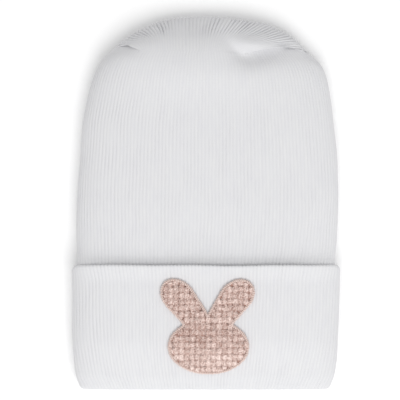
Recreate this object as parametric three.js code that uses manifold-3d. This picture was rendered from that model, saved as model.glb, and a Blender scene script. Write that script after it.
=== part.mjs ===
// Baby hat with ears: a rib-knit hat laid flat on its back, with a turned-up cuff
// and a rabbit's head sewn on the front of the cuff. Lengths are in millimetres.
// The front faces +Z, the crown points to +Y, the back lies on z = 0.
import * as THREE from "three";
import Module from "manifold-3d";

const wasm = await Module();
wasm.setup();
const { CrossSection, Manifold } = wasm;

// Overall sizes of the hat as it lies.
const hatWidth = 134;
const hatLength = 186.4;
const hatHeight = 24;
const cuffDepth = 62.5;

// Cloth thicknesses and the air left between two pieces of cloth.
const crownWall = 2;
const cuffWall = 2.4;
const clothGap = 0.35;
const lapLength = 5.5; // how far the cuff runs back up inside the rim
const cuffStand = 1.6; // how far the front of the cuff stands off the crown
const standRise = 0.3; // share of the cuff's depth over which it comes to stand off
const cornerRound = 2.2; // how far the cuff's top edge drops at the sides

// The tube that the crown and the cuff both follow. Shares: along of the length,
// left and right of half the crown's width, crest and base of the height.
const crownHalf = hatWidth / 2 - cuffWall - clothGap;
const backLift = (cuffWall + clothGap) / hatHeight;
const tube = [
  { along: 0.0, left: 0.94, right: 0.925, crest: 0.57, base: backLift },
  { along: 0.04, left: 0.973, right: 0.958, crest: 0.7, base: backLift },
  { along: 0.085, left: 0.986, right: 0.974, crest: 0.775, base: backLift },
  { along: 0.15, left: 0.992, right: 0.988, crest: 0.82, base: backLift },
  { along: 0.24, left: 0.995, right: 0.997, crest: 0.858, base: backLift },
  { along: 0.325, left: 1.0, right: 1.0, crest: 0.895, base: backLift },
  { along: 0.345, left: 1.002, right: 1.004, crest: 0.908, base: 0.075 },
  { along: 0.375, left: 1.002, right: 1.014, crest: 0.933, base: 0.012 },
  { along: 0.4, left: 1.002, right: 1.02, crest: 0.953, base: 0.0 },
  { along: 0.507, left: 0.998, right: 1.033, crest: 1.0, base: 0.0 },
  { along: 0.614, left: 0.982, right: 1.021, crest: 1.0, base: 0.0 },
  { along: 0.7, left: 0.962, right: 0.998, crest: 0.995, base: 0.0 },
  { along: 0.775, left: 0.925, right: 0.971, crest: 0.98, base: 0.0 },
  { along: 0.829, left: 0.886, right: 0.94, crest: 0.955, base: 0.0 },
  { along: 0.866, left: 0.839, right: 0.897, crest: 0.918, base: 0.0 },
  { along: 0.893, left: 0.778, right: 0.817, crest: 0.87, base: 0.0 },
  { along: 0.912, left: 0.716, right: 0.767, crest: 0.82, base: 0.0 },
  { along: 0.94, left: 0.629, right: 0.694, crest: 0.725, base: 0.005 },
  { along: 0.958, left: 0.551, right: 0.619, crest: 0.645, base: 0.02 },
  { along: 0.971, left: 0.476, right: 0.542, crest: 0.58, base: 0.045 },
  { along: 0.982, left: 0.402, right: 0.451, crest: 0.513, base: 0.085 },
  { along: 0.991, left: 0.318, right: 0.31, crest: 0.44, base: 0.14 },
  { along: 0.9968, left: 0.22, right: 0.17, crest: 0.37, base: 0.2 },
];
const topAside = -0.03; // the highest point of the arch, as a share of crownHalf

// The cross-section: how square the front and the back are, and where the side lies.
const frontSquare = 4.5;
const backSquare = 10;
const edgeRound = 2.2;
const sideHeight = 0.37;
const backFlat = 1.03;
const frontSteps = 30;
const backSteps = 16;
const sideCrowd = 0.6; // how much closer the points stand at the sides
const denseSteps = 240; // points on a line before they are spread
const longSpan = 0.026; // a row is added half way where two rows are further apart
const firstSpan = 0.02; // the least from the crown's hidden edge to its first row

// Creases pressed into the front of the crown, ends as shares of crownHalf and length.
const creaseLoss = 0.75; // share of its depth that a crease loses toward its inner end
const creaseSide = 4; // height over which a crease fades in above the side
const creases = [
  { outX: 0.81, outY: 0.893, inX: 0.3, inY: 0.884, depth: 3.4, reach: 4.2 },
  { outX: -0.7, outY: 0.921, inX: -0.43, inY: 0.908, depth: 1.8, reach: 3.4 },
];

// The rabbit's head. Places are from the middle of the rim.
const patchThickness = 1.2;
const borderThickness = 1.6;
const borderWidth = 1.3;
const headWide = 40.3;
const headTall = 27.6;
const headAside = 1.25;
const headUp = 21.9;
const earTall = 20.4;
const earWide = 15.4;
const earRoot = 13.2;
const earTipUp = 0.896; // middle of the ear's tip over the head's, as a share of headTall
const earRootUp = 0.533; // the same for the ear's root
const ears = [
  { tip: -0.335, root: -0.138, lean: 45 }, // places aside from the rim's middle, shares of headWide
  { tip: 0.37, root: 0.188, lean: -49 },
];
const ovalSteps = 32;
const cornerSteps = 24;
const patchMesh = 5.5; // longest triangle side on the cloth
const patchDetail = 0.08; // finest bend kept in the rabbit's outline

// The slope of one column at a row of the table, flat where the column turns.
function slopeAt(i, key) {
  if (i === 0 || i === tube.length - 1) return 0;
  const before = (tube[i][key] - tube[i - 1][key]) / (tube[i].along - tube[i - 1].along);
  const after = (tube[i + 1][key] - tube[i][key]) / (tube[i + 1].along - tube[i].along);
  return before * after > 0 ? (2 * before * after) / (before + after) : 0;
}

// The tube's row at a share of the length, eased between the rows of the table.
function rowAt(along) {
  let i = 0;
  while (i < tube.length - 2 && tube[i + 1].along < along) i++;
  const span = tube[i + 1].along - tube[i].along;
  const t = (along - tube[i].along) / span;
  const row = { along };
  for (const key of ["left", "right", "crest", "base"]) {
    const rise = tube[i + 1][key] - tube[i][key];
    const leave = slopeAt(i, key) * span * t * (1 - t) * (1 - t);
    const arrive = slopeAt(i + 1, key) * span * t * t * (1 - t);
    row[key] = tube[i][key] + rise * t * t * (3 - 2 * t) + leave - arrive;
  }
  return row;
}

// Points set along a line of dense points, closer together at its two ends.
function spread(line, steps) {
  const far = [0];
  for (let i = 1; i < line.length; i++) {
    far.push(far[i - 1] + Math.hypot(line[i].x - line[i - 1].x, line[i].z - line[i - 1].z));
  }
  const total = far[far.length - 1];
  const out = [];
  let i = 0;
  for (let k = 0; k < steps; k++) {
    const share = k / steps;
    const goal = total * (share - (sideCrowd * Math.sin(2 * Math.PI * share)) / (2 * Math.PI));
    while (far[i + 1] < goal) i++;
    const t = (goal - far[i]) / (far[i + 1] - far[i]);
    out.push({
      x: line[i].x + (line[i + 1].x - line[i].x) * t,
      z: line[i].z + (line[i + 1].z - line[i].z) * t,
    });
  }
  return out;
}

// The line round the tube at one row: over the front from right to left, then back
// under it. proud lifts the front, as where the cuff stands off the crown.
function lineRound(row, proud = 0) {
  const crest = row.crest * hatHeight + proud;
  const base = row.base * hatHeight;
  const side = base + (row.crest * hatHeight - base) * sideHeight;
  const lineOver = (square, height, floor, facing) => {
    const line = [];
    for (let k = 0; k <= denseSteps; k++) {
      const turned = Math.cos((Math.PI * k) / denseSteps);
      const across = facing * Math.sign(turned) * Math.abs(turned) ** (2 / square);
      const up = (1 - Math.abs(across) ** square) ** (1 / edgeRound);
      const half = (across > 0 ? row.right : row.left) * crownHalf;
      line.push({ x: across * half, z: Math.max(side + height * up, floor) });
    }
    return line;
  };
  const front = lineOver(frontSquare, crest - side, side, 1);
  const back = lineOver(backSquare, (base - side) * backFlat, base, -1);
  return [...spread(front, frontSteps), ...spread(back, backSteps)];
}

// The same line moved outward by a distance, square to itself.
function lineOut(line, distance) {
  const count = line.length;
  return line.map((p, i) => {
    const a = line[(i + count - 1) % count];
    const b = line[(i + 1) % count];
    const long = Math.hypot(b.x - a.x, b.z - a.z);
    return {
      x: p.x + ((b.z - a.z) / long) * distance,
      z: p.z - ((b.x - a.x) / long) * distance,
    };
  });
}

// How far the creases press a point of the front down.
function pressed(x, y) {
  let down = 0;
  for (const crease of creases) {
    const ax = crease.outX * crownHalf;
    const ay = crease.outY * hatLength;
    const bx = crease.inX * crownHalf;
    const by = crease.inY * hatLength;
    const length2 = (bx - ax) ** 2 + (by - ay) ** 2;
    const t = ((x - ax) * (bx - ax) + (y - ay) * (by - ay)) / length2;
    const kept = Math.min(Math.max(t, 0), 1);
    const away = Math.hypot(x - ax - kept * (bx - ax), y - ay - kept * (by - ay));
    const fade = 1 - creaseLoss * kept;
    down += crease.depth * fade * Math.exp(-((away / crease.reach) ** 2));
  }
  return down;
}

// A closed mesh from points and faces.
function solidOf(points, faces) {
  const geometry = new THREE.BufferGeometry();
  geometry.setAttribute("position", new THREE.Float32BufferAttribute(points.flat(), 3));
  geometry.setIndex(faces.flat());
  geometry.computeVertexNormals();
  return geometry;
}

// Faces between two rings of points that start at the given numbers.
function joinRings(faces, first, second, count) {
  for (let i = 0; i < count; i++) {
    const j = (i + 1) % count;
    faces.push([first + i, second + j, first + j], [first + i, second + i, second + j]);
  }
}

// Crown: rings of the outer face from the rim to the top, then of the inner face back.
function crownGeometry() {
  const startAlong = (lapLength + clothGap + cuffWall) / hatLength;
  const alongs = [startAlong];
  for (const [i, row] of tube.entries()) {
    const next = tube[i + 1]?.along ?? row.along;
    const places = next - row.along > longSpan ? [row.along, (row.along + next) / 2] : [row.along];
    alongs.push(...places.filter((along) => along > startAlong + firstSpan));
  }
  const rings = alongs.map((along) => {
    const row = rowAt(along);
    const side = (row.base + (row.crest - row.base) * sideHeight) * hatHeight;
    return lineRound(row).map((p) => {
      const y = along * hatLength;
      const share = Math.min(Math.max((p.z - side) / creaseSide, 0), 1);
      return new THREE.Vector3(p.x, y, p.z - pressed(p.x, y) * share);
    });
  });
  const count = rings[0].length;
  const topRow = tube[tube.length - 1];
  const tip = new THREE.Vector3(
    topAside * crownHalf,
    hatLength,
    (topRow.base + (topRow.crest - topRow.base) * sideHeight) * hatHeight,
  );
  const inner = rings.map((ring, r) =>
    ring.map((p, i) => {
      const below = r > 0 ? rings[r - 1][i] : p;
      const above = r < rings.length - 1 ? rings[r + 1][i] : tip;
      const along = new THREE.Vector3().subVectors(above, below);
      const round = new THREE.Vector3().subVectors(ring[(i + 1) % count], ring[(i + count - 1) % count]);
      const inward = new THREE.Vector3().crossVectors(round, along).normalize();
      if (r === 0) inward.setY(0).normalize();
      return p.clone().addScaledVector(inward, crownWall);
    }),
  );
  const points = [];
  const faces = [];
  const put = (v) => points.push([v.x, v.y, v.z]);
  for (const ring of rings) ring.forEach(put);
  put(tip);
  const tipAt = rings.length * count;
  for (let r = 0; r + 1 < rings.length; r++) joinRings(faces, r * count, (r + 1) * count, count);
  for (let i = 0; i < count; i++) {
    faces.push([(rings.length - 1) * count + ((i + 1) % count), (rings.length - 1) * count + i, tipAt]);
  }
  const innerStart = tipAt + 1;
  const innerRings = inner.slice(0, -2);
  for (const ring of innerRings) ring.forEach(put);
  const innerTip = tip.clone().setY(inner[inner.length - 2][0].y);
  put(innerTip);
  const innerTipAt = innerStart + innerRings.length * count;
  for (let r = 0; r + 1 < innerRings.length; r++) {
    joinRings(faces, innerStart + (r + 1) * count, innerStart + r * count, count);
  }
  for (let i = 0; i < count; i++) {
    const from = innerStart + (innerRings.length - 1) * count;
    faces.push([from + i, from + ((i + 1) % count), innerTipAt]);
  }
  joinRings(faces, innerStart, 0, count);
  return solidOf(points, faces);
}

// Cuff: the line round the band's own section, from the lap inside the rim, round the
// fold at the rim, up the outside and over the soft edge at the top.
const bandOut = clothGap + cuffWall;
const bandRows = [0.09, 0.15, 0.22, 0.32, 0.46, 0.62, 0.78, 0.9]; // shares of the cuff's depth
function bandSection() {
  const foldOuter = (bandOut + crownWall) / 2;
  const foldInner = clothGap / 2;
  const lapTop = lapLength + cuffWall;
  const section = [];
  const turn = (radius, middle, y, from, to, steps) => {
    for (let k = 0; k <= steps; k++) {
      const angle = from + ((to - from) * k) / steps;
      section.push({ out: middle + radius * Math.cos(angle), y: y + radius * Math.sin(angle) });
    }
  };
  section.push({ out: 0, y: lapTop });
  section.push({ out: -crownWall, y: lapTop });
  turn(foldOuter, (bandOut - crownWall) / 2, foldOuter, Math.PI, 2 * Math.PI, 6);
  for (const share of bandRows) {
    section.push({ out: bandOut, y: share * cuffDepth });
  }
  turn(cuffWall / 2, clothGap + cuffWall / 2, cuffDepth - cuffWall / 2, 0, Math.PI, 4);
  for (const share of bandRows.toReversed()) {
    section.push({ out: clothGap, y: share * cuffDepth });
  }
  turn(foldInner, foldInner, foldOuter, 0, -Math.PI, 2);
  return section;
}

// How much of its stand the front of the cuff has at a height above the rim.
function standAt(y) {
  const t = Math.min(Math.max((y - lapLength - cuffWall) / (standRise * cuffDepth), 0), 1);
  return cuffStand * t * t * (3 - 2 * t);
}

// How far the cuff drops at a place near its top corners.
function cornerDrop(x, y) {
  const toSide = Math.max(Math.abs(x) - (hatWidth / 2 - 2 * cornerRound), 0) / (2 * cornerRound);
  const toTop = Math.max(y - (cuffDepth - 4 * cornerRound), 0) / (4 * cornerRound);
  return cornerRound * toSide ** 3 * toTop;
}

function cuffGeometry() {
  const points = [];
  const faces = [];
  const rings = bandSection();
  for (const at of rings) {
    const inLap = at.out < clothGap / 2;
    const line = lineRound(rowAt(at.y / hatLength), inLap ? 0 : standAt(at.y));
    for (const p of lineOut(line, at.out)) points.push([p.x, at.y - cornerDrop(p.x, at.y), p.z]);
  }
  const count = frontSteps + backSteps;
  for (let r = 0; r < rings.length; r++) {
    joinRings(faces, r * count, ((r + 1) % rings.length) * count, count);
  }
  return solidOf(points, faces);
}

// Height of the cuff's front at a place on it.
function cuffFront(x, y) {
  const row = rowAt(y / hatLength);
  const base = row.base * hatHeight;
  const side = base + (row.crest * hatHeight - base) * sideHeight;
  const half = (x > 0 ? row.right : row.left) * crownHalf;
  const across = Math.abs(x / half);
  const crest = row.crest * hatHeight + standAt(y);
  return side + (crest - side) * (1 - across ** frontSquare) ** (1 / edgeRound) + bandOut;
}

const ellipse = (wide, tall, x, y, lean = 0) =>
  new CrossSection([
    Array.from({ length: ovalSteps }, (_, k) => {
      const angle = (2 * Math.PI * k) / ovalSteps;
      return [(Math.cos(angle) * wide) / 2, (Math.sin(angle) * tall) / 2];
    }),
  ])
    .rotate(lean)
    .translate([x, y]);

// The rabbit's head with its two ears, as a flat shape.
const rabbit = CrossSection.union([
  ellipse(headWide, headTall, headAside, headUp),
  ...ears.map((ear) =>
    CrossSection.hull([
      ellipse(earWide, earTall, ear.tip * headWide, headUp + earTipUp * headTall, ear.lean),
      ellipse(earRoot, earRoot, ear.root * headWide, headUp + earRootUp * headTall),
    ]),
  ),
]);

// A flat shape laid on the cuff, with the cloth gap under it.
function laidOnCuff(shape, thickness) {
  const sheet = Manifold.extrude(shape.simplify(patchDetail), thickness).refineToLength(patchMesh);
  const laid = sheet.warp((v) => {
    v[2] += cuffFront(v[0], v[1]) + clothGap;
  });
  const mesh = laid.getMesh();
  const geometry = new THREE.BufferGeometry();
  geometry.setAttribute("position", new THREE.BufferAttribute(mesh.vertProperties, 3));
  geometry.setIndex(new THREE.BufferAttribute(mesh.triVerts, 1));
  geometry.computeVertexNormals();
  return geometry;
}

const clothInside = rabbit.offset(-borderWidth - clothGap, "Round", 2, cornerSteps);
const borderInside = rabbit.offset(-borderWidth, "Round", 2, cornerSteps);

const whiteKnit = { color: 0xe9e9eb, roughness: 0.95, metalness: 0 };
const pinkYarn = { color: 0xd1b6ad, roughness: 0.95, metalness: 0 };
const palePinkYarn = { color: 0xe6ccc4, roughness: 0.9, metalness: 0 };

const pieces = [
  ["crown", crownGeometry(), whiteKnit],
  ["cuff", cuffGeometry(), whiteKnit],
  ["bunny_patch", laidOnCuff(clothInside, patchThickness), pinkYarn],
  ["patch_border", laidOnCuff(rabbit.subtract(borderInside), borderThickness), palePinkYarn],
];

const hat = new THREE.Group();
hat.name = "baby_hat_with_ears";
hat.position.set(0, -hatLength / 2, 0);
for (const [name, geometry, look] of pieces) {
  const mesh = new THREE.Mesh(geometry, new THREE.MeshStandardMaterial(look));
  mesh.name = name;
  hat.add(mesh);
}

export default hat;
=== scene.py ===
import math

import bmesh
import bpy
import mathutils
import numpy as np
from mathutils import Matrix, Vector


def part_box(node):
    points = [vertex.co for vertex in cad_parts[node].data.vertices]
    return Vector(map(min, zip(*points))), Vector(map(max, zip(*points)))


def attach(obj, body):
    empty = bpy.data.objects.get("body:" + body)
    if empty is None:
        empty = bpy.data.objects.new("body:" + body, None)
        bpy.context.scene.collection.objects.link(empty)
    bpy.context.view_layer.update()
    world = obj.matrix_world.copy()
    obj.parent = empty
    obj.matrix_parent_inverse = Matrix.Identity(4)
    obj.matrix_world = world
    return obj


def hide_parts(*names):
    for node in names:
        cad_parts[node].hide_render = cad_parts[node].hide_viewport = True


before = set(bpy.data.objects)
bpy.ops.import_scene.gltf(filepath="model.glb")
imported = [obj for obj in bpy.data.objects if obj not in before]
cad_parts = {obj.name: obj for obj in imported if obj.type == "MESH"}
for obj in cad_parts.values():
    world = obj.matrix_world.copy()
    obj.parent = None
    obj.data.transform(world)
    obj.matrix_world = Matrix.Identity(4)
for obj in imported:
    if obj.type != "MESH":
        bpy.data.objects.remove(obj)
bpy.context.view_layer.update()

# Camera, light and floor. The hat is looked at from straight above, with the rim at the
# bottom of the image, on a light table in a white tent, with a soft light from the rim's side.
image_width = 0.200
image_centre = (-0.0029, 0.0013)
camera_height = 1.5
outline_height = 0.008
camera_data = bpy.data.cameras.new("camera")
camera_data.sensor_width = 36
camera_data.lens = 36 * (camera_height - outline_height) / image_width
camera = bpy.data.objects.new("camera", camera_data)
camera.location = (*image_centre, camera_height)
bpy.context.scene.collection.objects.link(camera)
bpy.context.scene.camera = camera
bpy.context.scene.view_settings.view_transform = "Standard"


def soft_light(name, place, size, watts):
    """A square softbox that faces the hat."""
    data = bpy.data.lights.new(name, "AREA")
    data.size = size
    data.energy = watts
    light = bpy.data.objects.new(name, data)
    light.location = place
    light.rotation_euler = mathutils.Vector(place).to_track_quat("Z", "Y").to_euler()
    bpy.context.scene.collection.objects.link(light)


soft_light("softbox_at_rim", (0.19, -0.8, 1.5), 1.1, 16.2)
tent = bpy.data.worlds.new("tent")
tent.use_nodes = True
tent.node_tree.nodes["Background"].inputs["Color"].default_value = (1, 1, 1, 1)
tent.node_tree.nodes["Background"].inputs["Strength"].default_value = 0.63
bpy.context.scene.world = tent


def linear(hex_colour):
    """An sRGB hex colour as linear light."""
    values = [int(hex_colour[i : i + 2], 16) / 255 for i in (1, 3, 5)]
    light = [v / 12.92 if v <= 0.04045 else ((v + 0.055) / 1.055) ** 2.4 for v in values]
    return (*light, 1)


def add_node(tree, kind, settings=None, links=None):
    """A node with its settings, and its inputs set to values or joined to sockets."""
    node = tree.nodes.new(kind)
    for key, value in (settings or {}).items():
        setattr(node, key, value)
    for key, value in (links or {}).items():
        if isinstance(value, bpy.types.Node):
            value = value.outputs[0]
        if isinstance(value, bpy.types.NodeSocket):
            tree.links.new(value, node.inputs[key])
        else:
            node.inputs[key].default_value = value
    return node


def new_material(name):
    """An empty material and its tree."""
    material = bpy.data.materials.new(name)
    material.use_nodes = True
    material.node_tree.nodes.clear()
    return material, material.node_tree


def new_piece(name, mesh):
    """An object in the scene, made of a mesh."""
    piece = bpy.data.objects.new(name, mesh)
    bpy.context.scene.collection.objects.link(piece)
    return piece


# The table: white opal acrylic lit a little from below, so that it gives the eye nothing
# but the hat's soft shadow.
opal, tree = new_material("opal_acrylic_light_table")
links = {
    "Base Color": linear("#FAFAFA"),
    "Roughness": 0.9,
    "Emission Color": (1, 1, 1, 1),
    "Emission Strength": 0.06,
}
shader = add_node(tree, "ShaderNodeBsdfPrincipled", None, links)
add_node(tree, "ShaderNodeOutputMaterial", None, {"Surface": shader})
floor_mesh = bpy.data.meshes.new("table")
floor_half = 3.0
corners = [(x * floor_half, y * floor_half, 0) for x, y in ((-1, -1), (1, -1), (1, 1), (-1, 1))]
floor_mesh.from_pydata(corners, [], [(0, 1, 2, 3)])
floor_mesh.materials.append(opal)
table = new_piece("table", floor_mesh)

# Crown: a fine cotton rib knitted as a tube. The tube lies flat with its front a little
# puffed. Its top is folded over to the back, which draws the middle ribs out into a fan
# and leaves a crease at each side, where the other ribs go in under the fold.
# Lengths from here on are in millimetres, and y counts from the rim.
mm = 0.001
cuff_low, cuff_high = (np.array(corner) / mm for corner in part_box("cuff"))
crown_high = np.array(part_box("crown")[1]) / mm
rim_place = cuff_low[1]
hat_length = crown_high[1] - rim_place
cuff_depth = cuff_high[1] - rim_place
hat_height = crown_high[2]
cloth_gap = 0.35
cuff_wall = 2.4
crown_wall = 2.0
lap_top = 7.9
crown_half = cuff_high[0] - cuff_wall - cloth_gap
back_lift = (cuff_wall + cloth_gap) / hat_height

# Shares: along of the length, left and right of half the width, crest and base of the height.
tube_columns = ("along", "left", "right", "crest", "base")
tube_rows = (
    (0.0, 0.94, 0.925, 0.57, back_lift),
    (0.04, 0.973, 0.958, 0.7, back_lift),
    (0.085, 0.986, 0.974, 0.775, back_lift),
    (0.15, 0.992, 0.988, 0.82, back_lift),
    (0.24, 0.995, 0.997, 0.858, back_lift),
    (0.325, 1.0, 1.0, 0.895, back_lift),
    (0.345, 1.002, 1.004, 0.908, 0.075),
    (0.375, 1.002, 1.014, 0.933, 0.012),
    (0.4, 1.002, 1.02, 0.953, 0.0),
    (0.507, 0.998, 1.033, 1.0, 0.0),
    (0.614, 0.982, 1.021, 1.0, 0.0),
    (0.7, 0.962, 0.998, 0.995, 0.0),
    (0.775, 0.925, 0.971, 0.98, 0.0),
    (0.829, 0.886, 0.94, 0.955, 0.0),
    (0.866, 0.839, 0.897, 0.918, 0.0),
    (0.893, 0.778, 0.817, 0.87, 0.0),
    (0.912, 0.716, 0.767, 0.82, 0.0),
    (0.94, 0.629, 0.694, 0.725, 0.005),
    (0.958, 0.551, 0.619, 0.645, 0.02),
    (0.971, 0.476, 0.542, 0.58, 0.045),
    (0.982, 0.402, 0.451, 0.513, 0.085),
    (0.991, 0.318, 0.31, 0.44, 0.14),
    (0.9968, 0.22, 0.17, 0.37, 0.2),
    (1.0, 0.03, 0.03, 0.28, 0.25),
)
shape = {name: np.array(column) for name, column in zip(tube_columns, zip(*tube_rows))}
front_square = 4.5
back_square = 10
edge_round = 2.2
side_share = 0.37
back_flat = 1.03
ring_steps = 300


def eased(places, values, at):
    """A table's column between its rows, with no overshoot."""
    step = np.diff(places)
    slope = np.diff(values) / step
    turn = slope[:-1] * slope[1:]
    tangent = np.zeros(len(places))
    both = slope[:-1] + slope[1:]
    tangent[1:-1] = np.divide(2 * turn, both, out=np.zeros(len(turn)), where=turn > 0)
    i = np.clip(np.searchsorted(places, at, side="right") - 1, 0, len(step) - 1)
    t = (at - places[i]) / step[i]
    ends = values[i] * (1 + 2 * t) * (1 - t) ** 2 + values[i + 1] * t * t * (3 - 2 * t)
    return ends + step[i] * t * (1 - t) * (tangent[i] * (1 - t) - tangent[i + 1] * t)


def tube_at(y, proud=0.0):
    """Half widths left and right, crest, base and side height of the tube."""
    along = np.clip(np.asarray(y, float) / hat_length, 0, 1)
    left, right = (
        np.sqrt(eased(shape["along"], (shape[name] * crown_half) ** 2, along))
        for name in ("left", "right")
    )
    crest = eased(shape["along"], shape["crest"], along) * hat_height
    base = eased(shape["along"], shape["base"], along) * hat_height
    side = base + (crest - base) * side_share
    return left, right, crest + proud, base, side


def front_height(x, y, proud=0.0):
    """Height of the front over a place in its outline."""
    left, right, crest, _, side = tube_at(y, proud)
    across = np.clip(np.abs(x) / np.where(x > 0, right, left), 0, 1)
    return side + (crest - side) * (1 - across**front_square) ** (1 / edge_round)


def back_height(x, y):
    """Height of the back under a place in its outline."""
    left, right, _, base, side = tube_at(y)
    across = np.clip(np.abs(x) / np.where(x > 0, right, left), 0, 1)
    drop = back_flat * (side - base) * (1 - across**back_square) ** (1 / edge_round)
    return np.maximum(side - drop, base)


def distances(line):
    """How far along a line each of its points lies."""
    steps = np.linalg.norm(np.diff(line, axis=0), axis=1)
    return np.concatenate([[0], np.cumsum(steps)])


def places_on(line, far, at):
    """Where a line is at given distances, from how far along it each of its points lies."""
    return np.stack([np.interp(at, far, column) for column in line.T], -1)


def square_to(line):
    """Steps of one millimetre square to a closed line, at each of its points."""
    along = np.roll(line, -1, 0) - np.roll(line, 1, 0)
    along /= np.linalg.norm(along, axis=1)[:, None]
    return np.stack([along[:, 1], -along[:, 0]], 1)


def ring_at(y, front_shares, back_shares, proud=0.0):
    """Points round the tube at y: the front from right to left, then the back."""
    left, right, crest, base, side = tube_at(y, proud)
    turned = np.cos(np.linspace(0, math.pi, ring_steps + 1))
    points = []
    for square, top, facing, shares in (
        (front_square, crest - side, 1, front_shares),
        (back_square, back_flat * (base - side), -1, back_shares),
    ):
        across = facing * np.sign(turned) * np.abs(turned) ** (2 / square)
        x = across * np.where(across > 0, right, left)
        z = side + top * (1 - np.abs(across) ** square) ** (1 / edge_round)
        half = np.stack([x, np.maximum(z, base)], 1)
        far = distances(half)
        points.append(places_on(half, far, shares * far[-1]))
    return np.concatenate(points)


# Ribs: one every 1.8 mm on the front, with mesh columns enough for a round ridge. The back
# is a little shorter round than the front.
rib_pitch = 1.8
columns_per_rib = {"front": 6, "back": 4}
counting_y = 100.0
counting_steps = 99
back_share = 0.94
front_half = ring_at(counting_y, np.linspace(0, 1, counting_steps), np.zeros(1))[:-1]
front_arc = distances(front_half)[-1]
rib_count = {
    "front": round(front_arc / rib_pitch),
    "back": round(back_share * front_arc / rib_pitch),
}
all_ribs = rib_count["front"] + rib_count["back"]
front_columns = rib_count["front"] * columns_per_rib["front"]
back_columns = rib_count["back"] * columns_per_rib["back"]
all_columns = front_columns + back_columns
front_shares = np.arange(front_columns) / front_columns
back_shares = np.arange(back_columns) / back_columns
rib_of_column = np.concatenate(
    [front_shares * rib_count["front"], rib_count["front"] + back_shares * rib_count["back"]]
)
rib_groove = 0.24
ridge_power = 0.8  # below 1 the ridges are broad and the grooves narrow

# Hand of the cloth: in soft patches the grooves are deeper or shallower, and the ribs sway.
groove_uneven = 1.1
groove_patch = (2.2, 10.0)  # ribs across, millimetres along
rib_waver = 0.45
waver_patch = (11.0, 17.0)  # millimetres across and along
noise_level = 0.5


def groove_depth(rib):
    """How far the knit lies below its ridges: deepest in the groove between two ribs."""
    return rib_groove * (1 - np.abs(np.sin(math.pi * rib)) ** ridge_power)


class KnitMesh:
    """Points, faces and knit coordinates (rib number, millimetres along it) of one cloth."""

    def __init__(self):
        self.points = np.zeros((0, 3))
        self.sunk = np.zeros(0)
        self.faces = []
        self.knit = []
        self.place = np.zeros((0, 2))

    def add_points(self, points, rib, along, relief=1.0):
        """Adds points and gives their numbers."""
        first = len(self.points)
        self.points = np.concatenate([self.points, points])
        self.sunk = np.concatenate([self.sunk, groove_depth(rib) * relief])
        self.place = np.concatenate([self.place, np.stack([rib, along], 1)])
        return np.arange(first, first + len(points))

    def add_grid(self, numbers, closed=False, last_rib=0.0):
        """Faces between rows of point numbers, one row below the other."""
        if closed:
            numbers = np.concatenate([numbers, numbers[:, :1]], 1)
        place = self.place[numbers]
        if closed:
            place[:, -1, 0] = last_rib
        a, b, c, d = numbers[:-1, :-1], numbers[:-1, 1:], numbers[1:, 1:], numbers[1:, :-1]
        self.faces += np.stack([a, b, c, d], -1).reshape(-1, 4).tolist()
        corners = [place[:-1, :-1], place[:-1, 1:], place[1:, 1:], place[1:, :-1]]
        self.knit.append(np.stack(corners, 2).reshape(-1, 2))

    def add_triangle(self, corners):
        self.faces.append([int(c) for c in corners])
        self.knit.append(self.place[list(corners)])

    def join_lines(self, one, other):
        """A strip of faces between two lines of point numbers that run side by side."""
        far = []
        for line in (one, other):
            along = distances(self.points[line])
            far.append(along / max(along[-1], 1e-9))
        i = j = 0
        while i < len(one) - 1 or j < len(other) - 1:
            one_is_next = i < len(one) - 1 and far[0][i + 1] <= far[1][min(j + 1, len(other) - 1)]
            if j == len(other) - 1 or one_is_next:
                self.add_triangle((one[i], one[i + 1], other[j]))
                i += 1
            else:
                self.add_triangle((one[i], other[j + 1], other[j]))
                j += 1

    def close_ring(self, numbers, centre):
        middle = self.add_points(centre[None], np.zeros(1), np.zeros(1), 0.0)[0]
        for a, b in zip(numbers, np.roll(numbers, -1)):
            self.add_triangle((a, b, middle))

    def finish(self, name, material):
        """The object, with its grooves sunk along the normals and its faces outward."""
        for point in self.points:
            patch = (point[0] / waver_patch[0], point[1] / waver_patch[1], noise_level)
            point[0] += rib_waver * mathutils.noise.noise(patch)
        for i, (rib, far) in enumerate(self.place):
            patch = (rib / groove_patch[0], far / groove_patch[1], noise_level)
            self.sunk[i] *= 1 + groove_uneven * mathutils.noise.noise(patch)
        mesh = bpy.data.meshes.new(name)
        mesh.from_pydata(self.points.tolist(), [], self.faces)
        uv = mesh.uv_layers.new(name="knit")
        uv.data.foreach_set("uv", np.concatenate(self.knit).astype(np.float32).ravel())
        solid = bmesh.new()
        solid.from_mesh(mesh)
        bmesh.ops.recalc_face_normals(solid, faces=solid.faces)
        if solid.calc_volume(signed=True) < 0:
            bmesh.ops.reverse_faces(solid, faces=solid.faces)
        open_edges = sum(1 for edge in solid.edges if len(edge.link_faces) != 2)
        print(name, "faces", len(solid.faces), "open edges", open_edges)
        solid.normal_update()
        for vertex, depth in zip(solid.verts, self.sunk):
            vertex.co -= vertex.normal * depth
        for vertex in solid.verts:
            vertex.co = (vertex.co + mathutils.Vector((0, rim_place, 0))) * mm
        for face in solid.faces:
            face.smooth = True
        solid.to_mesh(mesh)
        solid.free()
        mesh.materials.append(material)
        return new_piece(name, mesh)


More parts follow.
